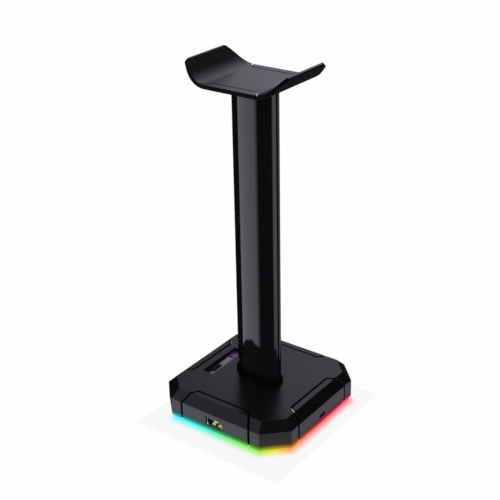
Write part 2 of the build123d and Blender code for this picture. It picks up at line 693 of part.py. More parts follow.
def side_cutter():
    """What one curved side takes off a straight band: its face is square to the bent plate."""
    start = SIDE_START - SADDLE_HALF_FLAT
    step = (WING_LENGTH + CUT_PAST - start) / SIDE_STEPS
    thickness = PAD_THICKNESS + PLATE_THICKNESS
    curves = [Spline(*[side_point(start + step * index, depth) for index in range(SIDE_STEPS + 1)])
              for depth in (-CUT_PAST, thickness + CUT_PAST)]
    face = Face.make_surface_from_curves(*curves)
    return extrude(face, SADDLE_HALF_WIDTH, dir=(0, 1, 0))


def tip_corner():
    """What rounding takes off one corner of a wing tip, square to the wing."""
    angle = radians(WING_ANGLE)
    x, z = saddle_line(0)[-1]
    corner = Vector(x, side_half_width(WING_LENGTH), z)
    run = side_run(WING_LENGTH)
    outwards, square = Vector(cos(angle), 0, sin(angle)), Vector(-sin(angle), 0, cos(angle))
    along_end = Vector(0, -1, 0)
    along_side = (Vector(0, run / sqrt(SIDE_RADIUS ** 2 - run ** 2), 0) - outwards).normalized()
    middle = (along_end + along_side).normalized()
    half_turn = radians(along_end.get_angle(along_side)) / 2
    centre = corner + middle * (WING_CORNER / sin(half_turn))
    reach = WING_CORNER / tan(half_turn)
    kite = make_face(Polyline([corner - middle * CUT_PAST, corner + along_end * reach, centre,
                               corner + along_side * reach], close=True))
    depth = 2 * (PAD_THICKNESS + PLATE_THICKNESS)
    round_part = Plane(origin=centre, z_dir=square) * Cylinder(WING_CORNER, 4 * depth)
    return extrude(kite, depth, dir=square, both=True) - round_part


def saddle_band(upper, lower):
    """The bent strip between two depths, from wing to wing, as wide as the saddle."""
    top, under = saddle_line(upper), saddle_line(lower)
    half = make_face([
        Line(under[0], under[1]), ThreePointArc(under[1], under[2], under[3]), Line(under[3], under[4]),
        Line(under[4], top[4]), Line(top[4], top[3]), ThreePointArc(top[3], top[2], top[1]),
        Line(top[1], top[0]), Line(top[0], under[0])])
    quarter = extrude(Rot(90, 0, 0) * half, -SADDLE_HALF_WIDTH) - side_cutter() - tip_corner()
    side = quarter + mirror(quarter, Plane.XZ)
    return side + mirror(side, Plane.YZ)


def strip_outline(grow):
    """Outline of the strip along the front edge of the saddle."""
    inner = SADDLE_HALF_WIDTH - STRIP_WIDTH
    return trapezoid(STRIP_HALF_IN, STRIP_HALF_OUT, inner, SADDLE_HALF_WIDTH, grow)


def strip_block(side, grow):
    return turned(side, extrude(strip_outline(grow), 2 * SADDLE_HEIGHT))


def saddle_pad():
    """Upper skin of the saddle, cut back along both sides for the strips."""
    pad = saddle_band(0, PAD_THICKNESS)
    for side in ("front", "back"):
        pad -= strip_block(side, STRIP_GROOVE / 2)
    return pad


def saddle_strip(side):
    return saddle_band(0, PAD_THICKNESS) & strip_block(side, -STRIP_GROOVE / 2)


def saddle_plate():
    """Bent carrier plate with its screw holes and the plug that stands in the column."""
    plate = saddle_band(PAD_THICKNESS, PAD_THICKNESS + PLATE_THICKNESS)
    plate += column_plug(PLATE_BOTTOM - PLUG_LENGTH, PLATE_BOTTOM + PLATE_THICKNESS / 2)
    face = SADDLE_HEIGHT - PAD_THICKNESS
    for x in (-SCREW_PORT_SPREAD, SCREW_PORT_SPREAD):
        plate -= Pos(x, 0, face) * countersink(LARGE_SCREW, THREAD_GAP)
        plate -= upright(LARGE_SCREW[0] + CLEAR_GAP / 2, PLATE_BOTTOM, face, x)
    return plate


def saddle_screws():
    screw = flat_screw(LARGE_SCREW, PLATE_THICKNESS + SCREW_BITE)
    face = SADDLE_HEIGHT - PAD_THICKNESS
    return [Pos(x, 0, face) * screw for x in (-SCREW_PORT_SPREAD, SCREW_PORT_SPREAD)]


# ------------------------------------------------------------------ all the nodes

def all_nodes():
    nodes = {
        "base_housing": base_housing(),
        "window_lens": window_lens(),
        "window_light_bars": window_light_bars(),
        "light_guide_ring": light_guide_ring(),
        "bottom_cover": bottom_cover(),
        "ballast_plate": ballast_plate(),
        "cover_screws": cover_screws(),
        "main_board": main_board(),
        "board_screws": board_screws(),
        "light_modules": light_modules(),
        "hub_chip": hub_chip(),
        "board_capacitors": board_capacitors(),
        "inlet_shell": turned("right", inlet_shell()),
        "inlet_tongue": turned("right", inlet_tongue()),
        "mode_button": turned("left", mode_button()),
        "mode_switch": turned("left", mode_switch()),
        "column_tube": column_tube(),
        "foot_collar": foot_collar(),
        "column_foot_plate": column_foot_plate(),
        "column_foot_screws": column_foot_screws(),
        "saddle_plate": saddle_plate(),
        "saddle_pad": saddle_pad(),
        "saddle_screws": saddle_screws(),
    }
    for side in SIDES:
        nodes["side_panel_" + side] = turned(side, panel(side))
    for side in ("front", "back"):
        nodes["usb_shell_" + side] = turned(side, usb_shell())
        nodes["usb_tongue_" + side] = turned(side, usb_tongue())
        nodes["usb_contacts_" + side] = [turned(side, strip) for strip in usb_contacts()]
        nodes["saddle_strip_" + side] = saddle_strip(side)
    for x, y in CORNERS:
        place = ("front" if y < 0 else "back") + "_" + ("left" if x < 0 else "right")
        nodes["rubber_foot_" + place] = rubber_foot(x, y)
    return nodes


for name, shape in all_nodes().items():
    if isinstance(shape, list):
        shape = Compound(children=[piece.solid() for piece in shape])
    export_step(shape, "parts/" + name + ".step")
    print(name, round(shape.volume, 1))
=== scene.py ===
# %% [markdown]
# # A lit stand for headphones
#
# The stand has three parts that you see: an eight-sided base with a strip of light under its
# walls, an oval column, and a bent saddle that carries the headband. Its exact shapes come from
# the CAD model. Here Blender gives them their finishes, the light and the small things that are
# too fine for the CAD, such as the spring fingers in the ports.
#
# All lengths are in metres. +Z is up, -Y is the front, and the floor is at Z = 0.

# %% Load the CAD model
from math import cos, pi, radians, sin, sqrt

import bpy
from mathutils import Matrix, Vector


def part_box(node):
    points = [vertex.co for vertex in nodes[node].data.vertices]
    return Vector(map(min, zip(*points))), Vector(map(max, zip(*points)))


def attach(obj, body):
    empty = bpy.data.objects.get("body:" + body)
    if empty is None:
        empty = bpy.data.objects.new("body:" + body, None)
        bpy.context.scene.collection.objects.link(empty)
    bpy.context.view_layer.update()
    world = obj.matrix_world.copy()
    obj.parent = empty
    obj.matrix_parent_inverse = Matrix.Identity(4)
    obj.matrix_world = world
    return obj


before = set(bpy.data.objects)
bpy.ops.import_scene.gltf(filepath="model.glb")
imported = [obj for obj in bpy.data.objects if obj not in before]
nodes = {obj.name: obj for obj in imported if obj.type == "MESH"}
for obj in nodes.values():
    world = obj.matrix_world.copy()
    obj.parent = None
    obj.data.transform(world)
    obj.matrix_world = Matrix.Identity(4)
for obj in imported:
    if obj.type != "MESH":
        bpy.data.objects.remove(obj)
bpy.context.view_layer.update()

# %% [markdown] ## Where things are  Every place below is worked out from the CAD.

# %% Read the places that the finishes need
def corners_of(node):
    """The lowest and the highest corner of a CAD node."""
    return tuple(Vector(corner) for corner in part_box(node))


lens_low, lens_high = corners_of("window_lens")
column_low, column_high = corners_of("column_tube")
pad_low, pad_high = corners_of("saddle_pad")
BASE_HALF = corners_of("base_housing")[1].x
WALL_FOOT = corners_of("light_guide_ring")[1].z
BASE_TOP = column_low.z
CORNER_CUT = 0.0169     # how much of a wall each cut corner takes
BEVEL = 0.0067          # height of the bevel round the top
print("base half width", round(BASE_HALF, 4), "wall foot", round(WALL_FOOT, 4),
      "base top", round(BASE_TOP, 4))

# %% [markdown]
# ## The camera
#
# A long lens from far away keeps upright edges nearly parallel, which is how shops show such
# goods. The camera is placed by a turn round the stand and a height angle, and looks at a point
# given in half widths of the base.

# %% Place the camera
CAMERA_TURN, CAMERA_RISE, CAMERA_ROLL = radians(36.8), radians(25.7), radians(-1.16)
CAMERA_DISTANCE = 13.88 * BASE_HALF
SENSOR_MM, LENS_MM = 36, 76.2
look_at = Vector((-0.348 * BASE_HALF, 0.3044 * BASE_HALF, WALL_FOOT + 1.983 * BASE_HALF))

towards_camera = Vector((sin(CAMERA_TURN) * cos(CAMERA_RISE), -cos(CAMERA_TURN) * cos(CAMERA_RISE),
                         sin(CAMERA_RISE)))
level_right = Vector((cos(CAMERA_TURN), sin(CAMERA_TURN), 0))
level_up = towards_camera.cross(level_right)
camera_right = level_right * cos(CAMERA_ROLL) + level_up * sin(CAMERA_ROLL)
camera_up = level_up * cos(CAMERA_ROLL) - level_right * sin(CAMERA_ROLL)

camera_data = bpy.data.cameras.new("camera")
camera_data.sensor_width = SENSOR_MM
camera_data.lens = LENS_MM
camera = bpy.data.objects.new("camera", camera_data)
bpy.context.scene.collection.objects.link(camera)
facing = Matrix((camera_right, camera_up, towards_camera)).transposed().to_4x4()
camera.matrix_world = Matrix.Translation(look_at + towards_camera * CAMERA_DISTANCE) @ facing
bpy.context.scene.camera = camera
bpy.context.scene.view_settings.view_transform = "Standard"
print("camera at", [round(c, 3) for c in camera.matrix_world.translation])

# %% [markdown]
# ## Shader maths that reads like maths
#
# A material is a graph of nodes. Wiring each Math node by hand hides what the graph works out, so
# a small class wraps a socket, and `a * b + 1` adds the Math nodes by itself. Anything that isn't
# arithmetic on single numbers comes from one method, `Graph.node`.

# %% A socket that can be added, multiplied and compared
class Socket:
    """One value in a node graph. Arithmetic on it adds Math nodes to the same graph."""

    def __init__(self, graph, socket):
        self.graph, self.socket = graph, socket

    def maths(self, operation, *values):
        """A Math node in the same graph. Its own value isn't put in unless it is listed."""
        return self.graph.node("ShaderNodeMath", {"operation": operation}, dict(enumerate(values)))

    def __add__(self, other):
        return self.maths("ADD", self, other)

    def __radd__(self, other):
        return self.maths("ADD", other, self)

    def __sub__(self, other):
        return self.maths("SUBTRACT", self, other)

    def __rsub__(self, other):
        return self.maths("SUBTRACT", other, self)

    def __mul__(self, other):
        return self.maths("MULTIPLY", self, other)

    def __rmul__(self, other):
        return self.maths("MULTIPLY", other, self)

    def __truediv__(self, other):
        return self.maths("DIVIDE", self, other)

    def __neg__(self):
        return self.maths("MULTIPLY", self, -1)

    def __abs__(self):
        return self.maths("ABSOLUTE", self)

    def least(self, other):
        return self.maths("MINIMUM", self, other)

    def most(self, other):
        return self.maths("MAXIMUM", self, other)

    def to_power(self, other):
        return self.maths("POWER", self, other)

    def sine(self):
        return self.maths("SINE", self)

    def cosine(self):
        return self.maths("COSINE", self)

    def rise(self, start, end):
        """0 before start and 1 after end, with a soft step between them."""
        return self.graph.node("ShaderNodeMapRange", {"interpolation_type": "SMOOTHSTEP"},
                               {"Value": self, "From Min": start, "From Max": end})

    def within(self, low, high, soft_low, soft_high):
        """1 between two values, fading to 0 outside them."""
        return self.rise(low - soft_low, low) * (1 - self.rise(high, high + soft_high))


print("besides plain sums, a socket has:", [name for name in vars(Socket) if name[0] != "_"])

# %% [markdown]
# A graph grows one node at a time. Each of its methods adds one kind of node, and returns a socket
# that takes part in the sums above. The same class builds the materials and the room's light, so
# that there is one way to write both.

# %% A node graph under construction
class Graph:
    """A node graph under construction: a material's, or the world's."""

    def __init__(self, tree):
        self.tree = tree
        tree.nodes.clear()

    def node(self, kind, settings=None, values=None, output=0):
        """Adds a node, sets its settings, then fills its sockets with numbers or links."""
        new = self.tree.nodes.new(kind)
        for name, setting in (settings or {}).items():
            if name == "stops":
                self.set_stops(new.color_ramp, setting)
            else:
                setattr(new, name, setting)
        for name, value in (values or {}).items():
            if isinstance(value, Socket):
                self.tree.links.new(value.socket, new.inputs[name])
            else:
                new.inputs[name].default_value = value
        return Socket(self, new.outputs[output]) if len(new.outputs) else None

    def set_stops(self, ramp, stops):
        """A ramp's stops as (place, colour) pairs, from left to right."""
        ends = (ramp.elements[0], stops[0]), (ramp.elements[1], stops[-1])
        for element, (place, colour) in ends:
            element.position, element.color = place, (*colour, 1.0)
        for place, colour in stops[1:-1]:
            ramp.elements.new(place).color = (*colour, 1.0)

    def where(self):
        """The place on the object, in metres."""
        return self.node("ShaderNodeTexCoord", output="Object")

    def parts(self, vector):
        """The three numbers of a vector."""
        split = self.node("ShaderNodeSeparateXYZ", values={0: vector}).socket.node
        return [Socket(self, output) for output in split.outputs]

    def blend(self, factor, first, second):
        """A colour between two colours. The Mix node keeps its colour sockets at 6 and 7."""
        first, second = ((*colour, 1) if isinstance(colour, tuple) and len(colour) == 3 else colour
                         for colour in (first, second))
        return self.node("ShaderNodeMix", {"data_type": "RGBA"}, {0: factor, 6: first, 7: second}, 2)

    def mix(self, factor, first, second):
        """A finish between two finishes."""
        return self.node("ShaderNodeMixShader", values={0: factor, 1: first, 2: second})

    def noise(self, where, size, detail=2.0):
        """Even noise round 0.5, with features of about a size in metres."""
        return self.node("ShaderNodeTexNoise",
                         values={"Vector": where, "Scale": 1 / size, "Detail": detail})

    def principled(self, **values):
        """A Principled shader. Spaces in a socket's name are written as underscores."""
        return self.node("ShaderNodeBsdfPrincipled",
                         values={name.replace("_", " "): value for name, value in values.items()})

    def bump(self, height, distance, **more):
        """A bumpy normal, from a height pattern and its depth in metres."""
        return self.node("ShaderNodeBump", values={
            "Height": height, "Distance": distance, "Strength": 1.0, **more})

    def emission(self, colour, strength=1.0):
        """A surface that gives off its own light."""
        return self.node("ShaderNodeEmission", values={"Color": colour, "Strength": strength})

    def finish(self, surface):
        """Plugs a finish into the material's output."""
        self.node("ShaderNodeOutputMaterial", values={"Surface": surface})


def rgb(red, green, blue):
    """A display colour, 0 to 255, as the linear colour that Blender's sockets take."""
    def linear(value):
        value /= 255
        return value / 12.92 if value <= 0.04045 else ((value + 0.055) / 1.055) ** 2.4
    return tuple(linear(value) for value in (red, green, blue))


NO_LIGHT, FULL_WHITE = (0, 0, 0), (1, 1, 1)
print("mid grey in linear light:", [round(c, 3) for c in rgb(128, 128, 128)])

# %% [markdown]
# ## Studio light
#
# Glossy black shows little colour of its own: what you see on it is the room. So the light is a
# plain white studio with large soft boxes, drawn in the world by direction. Each box is a range
# of compass angles and heights with soft or hard edges. A hard edge gives the crisp stripe that
# runs down the polished column, and a soft edge gives the stripe that fades. The box behind the
# stand brightens slowly from one side to the other, and that draws the long gradient over the
# saddle's wing.
#
# The camera itself sees plain white behind the stand, and matt surfaces are lit evenly from all
# round. Light Path tells these three kinds of ray apart.

# %% Draw the soft boxes
def soft_box(turn, height, turns, heights, strength, soft_turn=(4, 4), soft_height=(8, 8)):
    """A bright patch of the room between two compass angles and two heights, in degrees."""
    return turn.within(*turns, *soft_turn) * height.within(*heights, *soft_height) * strength


DEGREES = 180 / pi
world = bpy.data.worlds.new("studio")
bpy.context.scene.world = world
world.use_nodes = True
room = Graph(world.node_tree)
x, y, z = room.parts(room.node("ShaderNodeTexCoord", output="Generated"))
turn = x.maths("ARCTAN2", y, x) * DEGREES
height = z.maths("ARCSINE", z) * DEGREES
boxes = [
    # Left: the front wall and the column's wide stripe, a little dimmer towards the front
    soft_box(turn, height, (-154.5, -119.5), (-60, 8), 1.5, (0.5, 9.5)) * (1 - 0.0057 * (turn + 150)),
    # High on the left: the bevel above the front wall
    soft_box(turn, height, (-158, -127), (16, 60), 0.46, (6, 11)),
    # Front: the cut front corner
    soft_box(turn, height, (-55, -16), (-24.5, 25), 1.25, (13, 6), (16, 8)),
    # Low on the right: the right wall and the column's narrow stripes
    soft_box(turn, height, (-10, 72), (-60, -6), 0.60, (6, 14)),
    # Behind: the top of the base and the saddle, brighter lower down
    soft_box(turn, height, (116, 117), (12, 42), 0.76, (54, 26), (6, 10))
    * (1.35 - 0.35 * height.rise(15, 33)),
    # Low behind, and faint: the underside of the right wing
    soft_box(turn, height, (98, 122), (-60, -26), 0.014, (14, 14), (8, 8)),
    # Above the front: the top of the base, in a view from behind
    soft_box(turn, height, (-112, -66), (8, 34), 0.45, (10, 10), (8, 8)),
]
light_path = room.node("ShaderNodeLightPath").socket.node
is_camera, is_diffuse = (Socket(room, light_path.outputs[name])
                         for name in ("Is Camera Ray", "Is Diffuse Ray"))
MATT_LIGHT, DIM_ROOM = 1.65, 0.012
COOL_WHITE = (0.975, 0.955, 1.13)
plain = is_camera + is_diffuse
tint = room.blend(plain, COOL_WHITE, FULL_WHITE)
strength = (sum(boxes[1:], boxes[0]) + DIM_ROOM) * (1 - plain) + is_camera + is_diffuse * MATT_LIGHT
glow = room.node("ShaderNodeBackground", values={"Color": tint, "Strength": strength})
room.node("ShaderNodeOutputWorld", values={"Surface": glow})
print("soft boxes drawn:", len(boxes), "matt light", MATT_LIGHT)

# %% [markdown]
# ## The ring's colours
#
# Under the walls a frosted ring glows in all colours of the rainbow, which run once round the
# base. One function gives the colour for a place, from its compass angle, and the ring, the walls
# above it and the floor below it all use it, so that they agree everywhere.

# %% Colours round the base
RAINBOW = [
    (0.00, rgb(40, 140, 255)), (0.10, rgb(44, 200, 240)), (0.16, rgb(52, 230, 232)),
    (0.21, rgb(50, 232, 208)), (0.25, rgb(76, 229, 158)), (0.29, rgb(103, 230, 112)),
    (0.34, rgb(140, 226, 62)), (0.355, rgb(182, 224, 48)), (0.375, rgb(236, 205, 48)),
    (0.40, rgb(234, 152, 52)), (0.43, rgb(232, 100, 52)), (0.48, rgb(234, 62, 62)),
    (0.54, rgb(230, 48, 74)), (0.60, rgb(244, 66, 108)), (0.70, rgb(232, 62, 200)),
    (0.80, rgb(150, 70, 250)), (0.90, rgb(70, 100, 255)), (1.00, rgb(40, 140, 255)),
]


def ring_colour(graph, x, y):
    """The ring's colour at a place, by compass angle from -X, once round."""
    share_of_turn = x.maths("ARCTAN2", y, x) / (2 * pi) + 0.5
    return graph.node("ShaderNodeValToRGB", {"stops": RAINBOW}, {"Fac": share_of_turn}, "Color")


def outside_octagon(x, y, half, corner_cut):
    """How far a place is outside an eight-sided outline, in metres, below 0 inside it."""
    return (x.most(y) - half).most((x + y) / sqrt(2) - (2 * half - corner_cut) / sqrt(2))


print("stops in the rainbow:", len(RAINBOW))

# %% [markdown]
# ## The floor
#
# A plain white sheet, far wider than the view. Close to the ring, along the front and the right
# wall, a painted pool of the ring's colour lies on it, as a lamp would light white paper, and that
# fades within a fingertip's width. The base also takes a little of the room's light from the sheet
# round it, and that is painted shade: the sheet is painted a shade greyer there.
#
# The sheet gives off its own even white, which keeps it free of noise and of hard shadows.

# %% Lay the floor
def new_material(name):
    """A material with an empty graph."""
    material = bpy.data.materials.new(name)
    material.use_nodes = True
    return material, Graph(material.node_tree)


def add_mesh(name, points, faces, material):
    """A mesh object with one material, linked to the scene."""
    mesh = bpy.data.meshes.new(name)
    mesh.from_pydata(points, [], faces)
    mesh.materials.append(material)
    piece = bpy.data.objects.new(name, mesh)
    bpy.context.scene.collection.objects.link(piece)
    return piece


def white(level):
    """A grey or white, from a display value of 0 to 255."""
    return rgb(level, level, level)


FLOOR_HALF = 3.0
SHADE_BEYOND_RIGHT, SHADE_BEYOND_FRONT, SHADE_EDGE = 0.012, 0.019, 0.002
GLOW_POOL_START, GLOW_POOL_END, PAINTED_GLOW_STRENGTH = -0.004, 0.0066, 1.18
CORNER_FADE = -0.003, 0.005                 # where the painted ring glow ends, from the end of a flat wall

floor_finish, graph = new_material("white_paper")
x, y, z = graph.parts(graph.where())
away = outside_octagon(abs(x), abs(y), BASE_HALF, CORNER_CUT)
# Painted shade: a greyer patch of the sheet round the base.
painted_shade_reach = (x - BASE_HALF - SHADE_BEYOND_RIGHT).most(-y - BASE_HALF - SHADE_BEYOND_FRONT).most(
    -x - BASE_HALF).most(y - BASE_HALF)
sheet = graph.blend(1 - painted_shade_reach.rise(0, SHADE_EDGE), white(254), white(247))
past_flat = [BASE_HALF - CORNER_CUT + step for step in CORNER_FADE]
# Painted light: the ring's colour pooled on the sheet along the front and right walls.
painted_ring_glow = (1 - away.rise(GLOW_POOL_START, GLOW_POOL_END)) * (1 - (-x).rise(*past_flat)) * (1 - y.rise(*past_flat))
paper = graph.mix(painted_ring_glow, graph.emission(sheet), graph.emission(ring_colour(graph, x, y), PAINTED_GLOW_STRENGTH))
graph.finish(paper)
corners = [(-FLOOR_HALF, -FLOOR_HALF, 0), (FLOOR_HALF, -FLOOR_HALF, 0),
           (FLOOR_HALF, FLOOR_HALF, 0), (-FLOOR_HALF, FLOOR_HALF, 0)]
floor = add_mesh("floor", corners, [(0, 1, 2, 3)], floor_finish)
floor.visible_glossy = False
print("floor", 2 * FLOOR_HALF, "m wide")

# %% [markdown]
# ## Moulded plastic
#
# The black parts have nearly one colour, and how smooth they are tells them apart. The shell and
# its panels are satin plastic, the column is polished lacquer and the pad is a soft skin. One
# recipe covers all three: a fine grain in the Bump, gloss that varies a little from place to
# place as it does on a real moulding, and a Bevel node that rounds the edges for the light.

# %% The recipe for moulded plastic
CLOUD_SIZE, HANDLED_SIZE = 0.012, 0.045     # patches of uneven gloss, small and large


def shades(colour, low, high):
    """A darker and a lighter shade of a colour."""
    return tuple(c * low for c in colour), tuple(c * high for c in colour)


def moulding(graph, where, colour, roughness, unevenness, grain, grain_depth, edge=0.0003, **fixed):
    """Moulded plastic. Grain, its depth and the soft edge are sizes in metres."""
    cloudy = graph.noise(where, CLOUD_SIZE, 3.0)
    handled = graph.noise(where, HANDLED_SIZE, 2.0)
    gloss = roughness + unevenness * (cloudy - 0.5) + unevenness * (handled - 0.5)
    soft_edges = graph.node("ShaderNodeBevel", {"samples": 4}, {"Radius": edge})
    return graph.principled(
        Base_Color=graph.blend(cloudy, *shades(colour, 0.8, 1.2)), Roughness=gloss,
        Normal=graph.bump(graph.noise(where, grain), grain_depth, Normal=soft_edges), **fixed)


def dress(material, *names):
    """Gives CAD nodes a finish in place of the plain one that they come with."""
    for name in names:
        nodes[name].data.materials.clear()
        nodes[name].data.materials.append(material)


BLACK = (0.0014, 0.0013, 0.0016)
MATT = {"roughness": 0.7, "unevenness": 0.1, "grain": 0.0004, "grain_depth": 0.00001,
        "edge": 0.0002, "IOR": 1.1}


def matt_black(graph, where):
    """Matt black: the column's collar, and painted shade where hardly any light gets in, on a
    groove's floor and along a seam.
    """
    return moulding(graph, where, BLACK, **MATT)


print("black plastic:", BLACK, "matt where", MATT["roughness"])

# %% [markdown]
# ## The shell and its panels
#
# Two things are painted over the shell. In the narrow grooves round the panels, hardly any light
# gets in or out, and a mirror-like sheen there would look wrong. So everything a little below the
# outer skin is painted matt black, as painted shade. And at the foot of the walls the ring's light
# creeping up the plastic is painted on as glow, strongest at the edge.
#
# The depth below the skin needs no extra mesh. The base is a block with cut corners and a bevel,
# and the distance to each of its planes is a sum of coordinates; the smallest one is the depth.

# %% Dress the shell and its panels
GROOVE_SHADE_BLACK = (0.002, 0.002, 0.002, 1)
GROOVE_START = 0.00036, 0.00045             # depth below the skin
SPILL_HEIGHT, SPILL_SHARE = 0.014, 0.022    # faint painted glow, high up the wall
GLOW_HEIGHT, GLOW_SHARE = 0.0066, 0.72      # strong painted glow, close to the ring
GLOW_FADE, GLOW_DEPTH = (0.0012, 0.0062), (0.0002, 0.0004)


def depth_below_skin(x, y, z):
    """Distance in from the nearest outer plane of the base, for x and y above 0."""
    flat, slant = x.most(y), (x + y) / sqrt(2)
    corner = (2 * BASE_HALF - CORNER_CUT) / sqrt(2)
    upright = (BASE_HALF - flat).least(corner - slant)
    bevels = (upright + (BASE_TOP - BEVEL - z)) / sqrt(2)
    return upright.least(BASE_TOP - z).least(bevels)


def shell_finish(name, roughness, ior, edge):
    """Satin black plastic with painted shade in its grooves and painted ring light along its foot."""
    material, graph = new_material(name)
    where = graph.where()
    x, y, z = graph.parts(where)
    colours, up = ring_colour(graph, x, y), z - WALL_FOOT
    painted_spill = (1 - up / SPILL_HEIGHT).most(0) * SPILL_SHARE
    satin = moulding(graph, where, BLACK, roughness, 0.05, 0.0003, 0.000005, edge, IOR=ior,
                     Emission_Strength=1.0, Emission_Color=graph.blend(painted_spill, NO_LIGHT, colours))
    # Painted shade: a matt, unlit black below the skin, in the grooves.
    groove_shade = graph.node("ShaderNodeBsdfDiffuse", values={"Color": GROOVE_SHADE_BLACK})
    depth = depth_below_skin(abs(x), abs(y), z)
    shaded = graph.mix(depth.rise(*GROOVE_START), satin, groove_shade)
    # Painted light: the ring's colour glows on the foot of the wall.
    reach = (1 - up / GLOW_HEIGHT).most(0)
    painted_foot_glow = graph.emission(graph.blend(reach * reach * GLOW_SHARE, NO_LIGHT, colours))
    at_foot = (1 - up.rise(*GLOW_FADE)) * (1 - depth.rise(*GLOW_DEPTH))
    graph.finish(graph.mix(at_foot, shaded, painted_foot_glow))
    return material


dress(shell_finish("satin_shell", 0.33, 1.56, 0.0003), "base_housing")
dress(shell_finish("satin_panels", 0.29, 1.53, 0.0002), "side_panel_front", "side_panel_right",
      "side_panel_back", "side_panel_left")
print("shell and four panels dressed")

# %% [markdown]
# ## The column
#
# An aluminium extrusion under high-gloss black lacquer. Lacquer is never quite flat, so a very
# shallow, wide ripple bends the stripes a little. Narrow grooves run down both ends of the oval,
# and inside them the lacquer gives way to painted shade, a dark, matt finish, since little light
# gets there.

# %% Dress the column and its collar
LACQUER = (0.0031, 0.0029, 0.0034)
GROOVES_WITHIN = 0.0033, 0.0038             # distance from the oval's long axis
GROOVE_FLOOR = 0.006, 0.010                 # share of the way in from the oval's outline
polished_column, graph = new_material("polished_column")
where = graph.where()
x, y, z = graph.parts(where)
lacquer = moulding(graph, where, LACQUER, 0.06, 0.02, 0.0012, 0.0000004, 0.0002, IOR=1.55)
across, along = x / column_high.x, y / column_high.y
inside_oval = 1 - (across * across + along * along).to_power(0.5)
# Painted shade: the grooves down the column's ends turn dark and matt.
groove_shade_mask = inside_oval.rise(*GROOVE_FLOOR) * (1 - abs(y).rise(*GROOVES_WITHIN))
graph.finish(graph.mix(groove_shade_mask, lacquer, matt_black(graph, where)))
dress(polished_column, "column_tube")

collar_finish, graph = new_material("dark_collar")
graph.finish(matt_black(graph, graph.where()))
dress(collar_finish, "foot_collar")
print("column half widths:", round(column_high.x, 4), round(column_high.y, 4))

# %% [markdown]
# ## The saddle
#
# The pad on top is a soft skin with a low sheen. Everything below its face is a cut or moulded
# edge, which hardly shines, and then the plate. So the finish goes by depth below the pad's face,
# in layers. That face is flat, bends up and runs straight along the wing, and the depth below it
# follows from the angle round the bend.
#
# A painted shade darkens a thin band at the groove between the pad and each of its two strips,
# and the end faces of the wings get a painted grey highlight.

# %% Depth below the pad's face
PAD_FACE = pad_low.z + 0.0012
BEND_START, BEND_RADIUS, WING_TILT = 0.0208, 0.0193, radians(45.2)
TIP_HALF_WIDTH = 0.0421
TIP_ALONG = TIP_HALF_WIDTH * cos(WING_TILT) + pad_high.z * sin(WING_TILT)


def depth_below_pad(x, z):
    """Distance below the pad's face, which is flat, then bends up, then runs straight."""
    across, up = abs(x) - BEND_START, z - (PAD_FACE + BEND_RADIUS)
    tilt = across.maths("ARCTAN2", across, -up).most(0).least(WING_TILT)
    return across * tilt.sine() - up * tilt.cosine() - BEND_RADIUS


print("pad's face at", round(PAD_FACE, 4), "tip along the wing", round(TIP_ALONG, 4))

# %% [markdown]
# The layers are mixed in from the top down: each one takes over where the depth passes its start.
# The other way would be a material slot for each face, but then every change to the CAD would
# need its faces picked again. The long outer edges get a painted highlight: they are a shade
# paler than the rest.

# %% Layers of the saddle
# Greys for painted highlights on the wing tips and the long outer edges, and where the painted seam
# shade lies.
TIP_HIGHLIGHT_GREY = (0.074, 0.073, 0.078)
EDGE_HIGHLIGHT_GREY = (0.0036, 0.0035, 0.0040)
OUTER_EDGE = 0.0288, 0.0292                 # distance from the middle, where the long edges are
SEAM_SHADE_BAND, SEAM_SHADE_HALF_LENGTH = (0.0237, 0.0242), (0.0200, 0.0203)
PAD_THICKNESS = 0.00115, 0.00125
TIP_ZONE = TIP_ALONG - 0.0009, TIP_ALONG - 0.0007
LAYER_SOFTNESS = 0.0001


def layered_finish(name, roughness, layers):
    """A soft skin, and below it a finish for each (depth, colour, gloss, IOR), from the top."""
    material, graph = new_material(name)
    where = graph.where()
    x, y, z = graph.parts(where)
    depth = depth_below_pad(x, z)
    whole = moulding(graph, where, BLACK, roughness, 0.05, 0.00035, 0.000005, 0.0002, IOR=1.5)
    # Painted highlight: the long outer edges are painted paler.
    edge, outer_edge = moulding(graph, where, EDGE_HIGHLIGHT_GREY, **MATT), abs(y).rise(*OUTER_EDGE)
    for start, colour, gloss, ior in layers:
        layer = moulding(graph, where, colour, **{**MATT, "roughness": gloss, "IOR": ior})
        layer = graph.mix(outer_edge, layer, edge)
        whole = graph.mix(depth.rise(start, start + LAYER_SOFTNESS), whole, layer)
    # Painted shade along the groove between the pad and each strip.
    painted_seam_shade = abs(y).within(*SEAM_SHADE_BAND, LAYER_SOFTNESS, LAYER_SOFTNESS)
    painted_seam_shade = painted_seam_shade * (1 - abs(x).rise(*SEAM_SHADE_HALF_LENGTH))
    whole = graph.mix(painted_seam_shade, whole, matt_black(graph, where))
    # Painted highlight on the tips' end faces, not on faces towards the front or back.
    facing_front = abs(graph.parts(graph.node("ShaderNodeNewGeometry", output="True Normal"))[1])
    along = abs(x) * cos(WING_TILT) + z * sin(WING_TILT)
    at_tip = along.rise(*TIP_ZONE) * (1 - facing_front.rise(0.3, 0.6))
    tip_highlight = moulding(graph, where, TIP_HIGHLIGHT_GREY, 0.7, 0.1, 0.0005, 0.00003, 0.0002, IOR=1.2)
    graph.finish(graph.mix(at_tip * (1 - depth.rise(*PAD_THICKNESS)), whole, tip_highlight))
    return material


dress(layered_finish("soft_pad", 0.26, [(0.00015, BLACK, 0.7, 1.1)]),
      "saddle_pad", "saddle_strip_front", "saddle_strip_back")
dress(layered_finish("carrier_plate", 0.24, [
    (0.0002, BLACK, 0.7, 1.1), (0.0024, (0.0050, 0.0048, 0.0052), 0.5, 1.2),
    (0.0031, (0.0028, 0.0027, 0.0030), 0.35, 1.25)]), "saddle_plate")
print("saddle dressed in layers")

